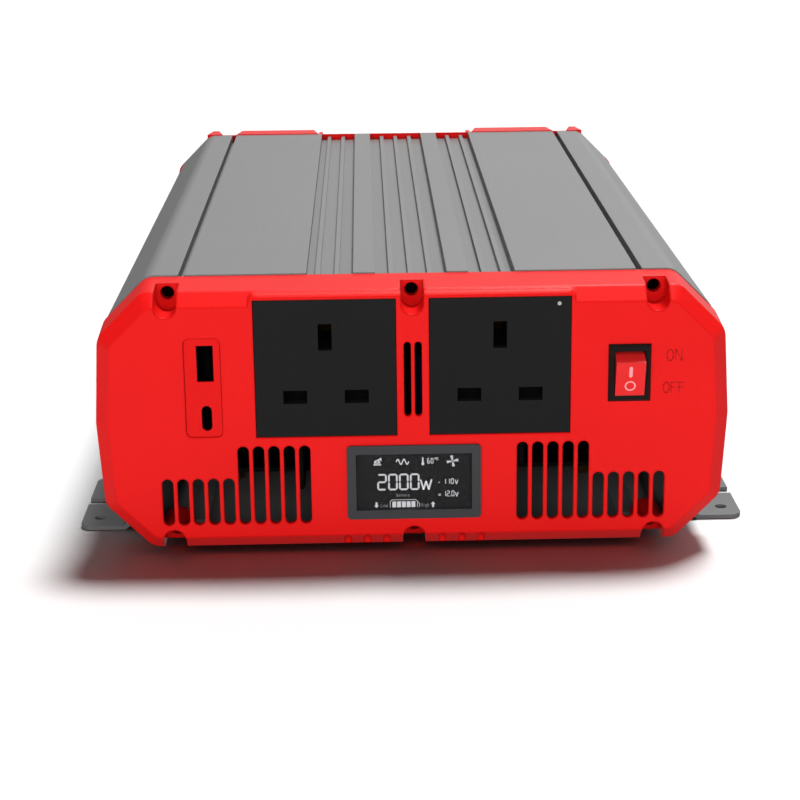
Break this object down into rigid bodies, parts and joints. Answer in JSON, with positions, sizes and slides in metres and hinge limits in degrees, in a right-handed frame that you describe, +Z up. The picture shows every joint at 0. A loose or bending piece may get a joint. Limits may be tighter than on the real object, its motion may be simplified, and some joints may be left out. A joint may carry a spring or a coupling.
{
  "type": "power inverter",
  "caption": "Power inverter: grey finned aluminium case between red end bezels, with three-pin outlets, display, USB panel and rocker switch in front, fans and terminals behind.",
  "frame": {"origin": "centre of the mounting holes' pattern, on the surface that the feet stand on", "axes": "+X to the right as seen from the front, +Y from the front to the back, +Z up"},
  "size_m": [0.2552, 0.3857, 0.1026],
  "materials": {
    "case_paint": "fine satin dark grey powder coat",
    "red_plastic": "satin moulded red",
    "black_steel": "blackened screws",
    "dark_steel": "dark grey coated steel",
    "zinc_steel": "zinc plated",
    "outlet_plastic": "fine matt black moulding",
    "black_plastic": "black moulding",
    "red_knob": "glossy red moulding",
    "contact_brass": "plain brass",
    "led_lens": "small clear lens",
    "display_trim": "dark grey satin moulding",
    "display_cover": "smoked clear cover",
    "display_lcd": "black display glass",
    "board_green": "green circuit board",
    "port_steel": "nickel plated port shells",
    "rocker_red": "glossy red rocker",
    "tab_tin": "tinned tabs",
    "guard_chrome": "bright wire",
    "copper": "bare copper",
    "fuse_orange": "orange fuse bodies",
    "ferrite": "ferrite and taped windings",
    "can_sleeve": "dark sleeve",
    "sink_aluminium": "extruded",
    "chip_black": "moulded packages",
    "wire_cover": "brown insulation"
  },
  "bodies": {
    "case": {"top_panel": "case_paint", "side_rail_left": "case_paint", "side_rail_right": "case_paint", "base_plate": "case_paint", "front_bezel": "red_plastic", "rear_bezel": "red_plastic", "front_bezel_screws": "black_steel", "rear_bezel_screws": "black_steel", "foot_front_left": "dark_steel", "foot_front_right": "dark_steel", "foot_rear_left": "dark_steel", "foot_rear_right": "dark_steel", "foot_screws": "zinc_steel", "outlet_left": "outlet_plastic", "outlet_right": "outlet_plastic", "outlet_contacts_left": "contact_brass", "outlet_contacts_right": "contact_brass", "outlet_led": "led_lens", "display_frame": "display_trim", "display_window": "display_cover", "display_glass": "display_lcd", "display_board": "board_green", "usb_panel": "red_plastic", "usb_a_port": "port_steel", "usb_c_port": "port_steel", "usb_board": "board_green", "switch_housing": "black_plastic", "switch_tabs": "tab_tin", "fan_frame_left": "black_plastic", "fan_frame_right": "black_plastic", "fan_guard_left": "guard_chrome", "fan_guard_right": "guard_chrome", "fan_screws": "zinc_steel", "terminal_base_positive": "red_knob", "terminal_base_negative": "black_plastic", "terminal_stud_positive": "contact_brass", "terminal_stud_negative": "contact_brass", "earth_screw": "contact_brass", "power_board": "board_green", "board_standoffs": "contact_brass", "bus_bars": "copper", "fuses": "fuse_orange", "transformers": "ferrite", "capacitors": "can_sleeve", "heat_sink_left": "sink_aluminium", "heat_sink_right": "sink_aluminium", "power_transistors": "chip_black", "filter_choke": "copper", "control_board": "board_green", "outlet_wires": "wire_cover"},
    "rocker": {"switch_rocker": "rocker_red"},
    "shutter_left": {"outlet_shutter_left": "black_plastic"},
    "shutter_right": {"outlet_shutter_right": "black_plastic"},
    "fan_left": {"fan_rotor_left": "black_plastic"},
    "fan_right": {"fan_rotor_right": "black_plastic"},
    "lug_washer_positive": {"terminal_washer_positive": "zinc_steel"},
    "lug_washer_negative": {"terminal_washer_negative": "zinc_steel"},
    "knob_positive": {"terminal_knob_positive": "red_knob"},
    "knob_negative": {"terminal_knob_negative": "black_plastic"}
  },
  "joints": [
    {"name": "rocker_tilt", "type": "hinge", "parent": "case", "child": "rocker", "pos_m": [0.0782, -0.1821, 0.0686], "axis": [-1, 0, 0], "range_deg": [0, 31]},
    {"name": "shutter_left_slide", "type": "slide", "parent": "case", "child": "shutter_left", "axis": [0, 0, -1], "range_m": [0, 0.0054], "stiffness_N_per_m": 150, "springref_m": -0.003},
    {"name": "shutter_right_slide", "type": "slide", "parent": "case", "child": "shutter_right", "axis": [0, 0, -1], "range_m": [0, 0.0054], "stiffness_N_per_m": 150, "springref_m": -0.003},
    {"name": "fan_left_spin", "type": "hinge", "parent": "case", "child": "fan_left", "pos_m": [-0.0716, 0.17, 0.051], "axis": [0, 1, 0], "continuous": true},
    {"name": "fan_right_spin", "type": "hinge", "parent": "case", "child": "fan_right", "pos_m": [0.0716, 0.17, 0.051], "axis": [0, 1, 0], "continuous": true},
    {"name": "washer_positive_lift", "type": "slide", "parent": "case", "child": "lug_washer_positive", "axis": [0, 1, 0], "range_m": [0, 0.0075]},
    {"name": "knob_positive_turn", "type": "hinge", "parent": "lug_washer_positive", "child": "knob_positive", "pos_m": [0.0185, 0.18, 0.062], "axis": [0, 1, 0], "range_deg": [0, 2160]},
    {"name": "washer_negative_lift", "type": "slide", "parent": "case", "child": "lug_washer_negative", "axis": [0, 1, 0], "range_m": [0, 0.0075]},
    {"name": "knob_negative_turn", "type": "hinge", "parent": "lug_washer_negative", "child": "knob_negative", "pos_m": [-0.0185, 0.18, 0.062], "axis": [0, 1, 0], "range_deg": [0, 2160]}
  ],
  "couplings": [
    {"joint": "knob_positive_turn", "follows": "washer_positive_lift", "rad_per_m": 5026.5},
    {"joint": "knob_negative_turn", "follows": "washer_negative_lift", "rad_per_m": 5026.5}
  ]
}
